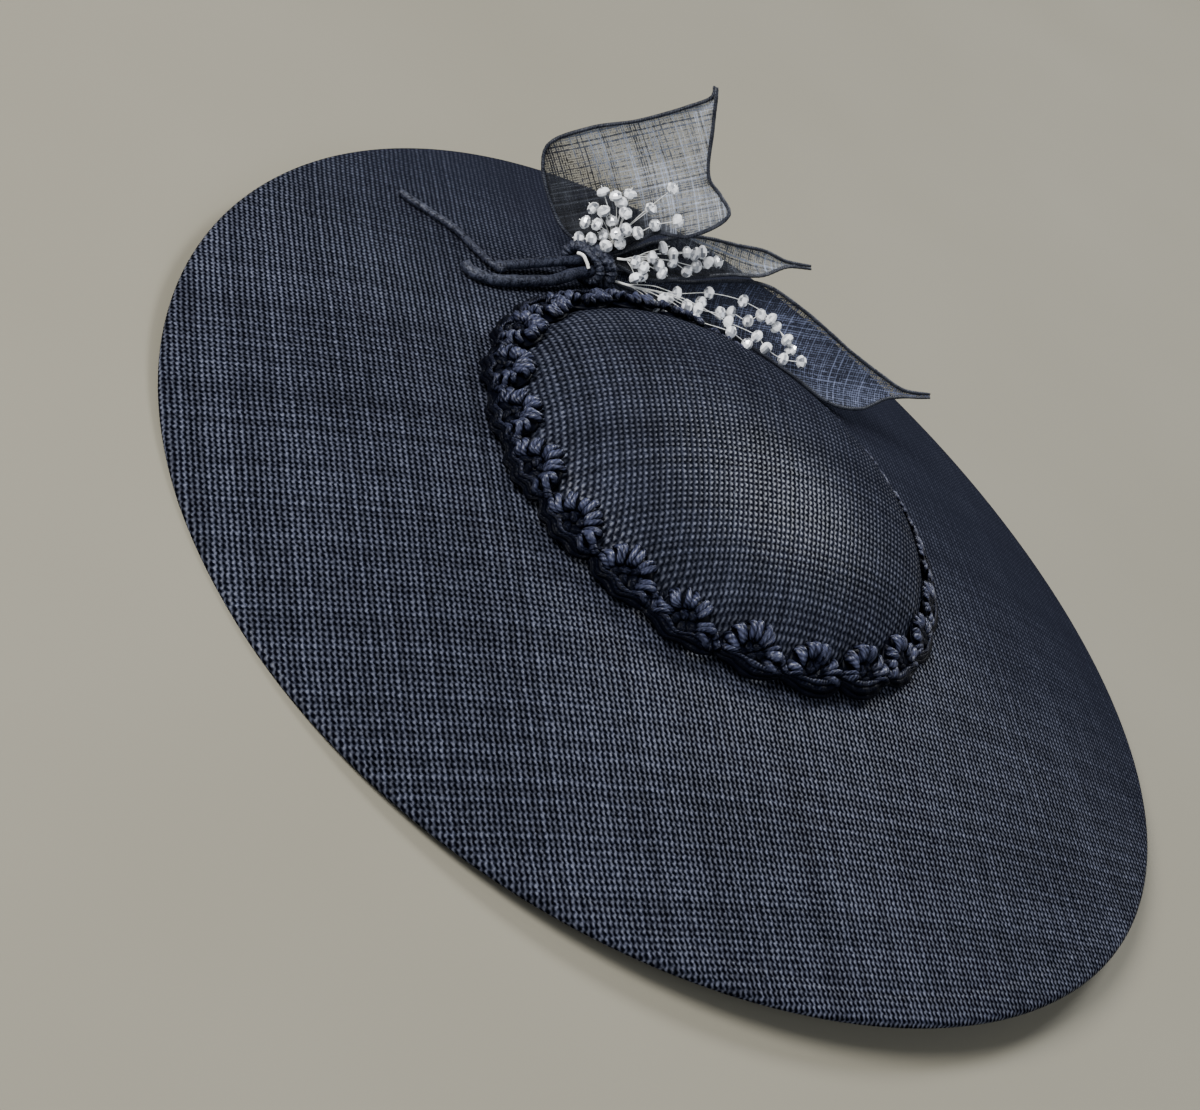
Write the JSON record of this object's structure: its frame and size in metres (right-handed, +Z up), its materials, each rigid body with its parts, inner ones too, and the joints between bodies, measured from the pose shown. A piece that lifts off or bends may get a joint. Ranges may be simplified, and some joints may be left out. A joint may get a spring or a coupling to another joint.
{
  "type": "saucer fascinator",
  "caption": "Wide round saucer headpiece of woven straw with a shallow domed crown, a scalloped braid round it and a spray of sheer leaves and beads tied to one side.",
  "frame": {"origin": "centre of the round rim on plan, at the height of the surface that the hat rests on", "axes": "+Z up through the crown; the picture looks along +Y and down, and the leaf spray is at the back left, towards -X and +Y"},
  "size_m": [0.37, 0.37, 0.1023],
  "materials": {
    "straw": "navy woven straw, satin",
    "braid": "navy silky thread braid",
    "sheer": "navy sheer woven cloth",
    "wrapped": "navy cloth wound round wire",
    "crystal": "milky clear beads on fine pale wire",
    "comb": "dark moulded plastic"
  },
  "bodies": {
    "root": {"brim": "straw", "crown": "straw", "braid_trim": "braid", "leaf_upper": "sheer", "leaf_middle": "sheer", "leaf_lower": "sheer", "stem_upper": "wrapped", "stem_lower": "wrapped", "stem_tendril": "wrapped", "knot_wrap": "wrapped", "bead_spray_upper": "crystal", "bead_spray_middle": "crystal", "bead_spray_lower": "crystal", "comb": "comb"}
  },
  "joints": []
}
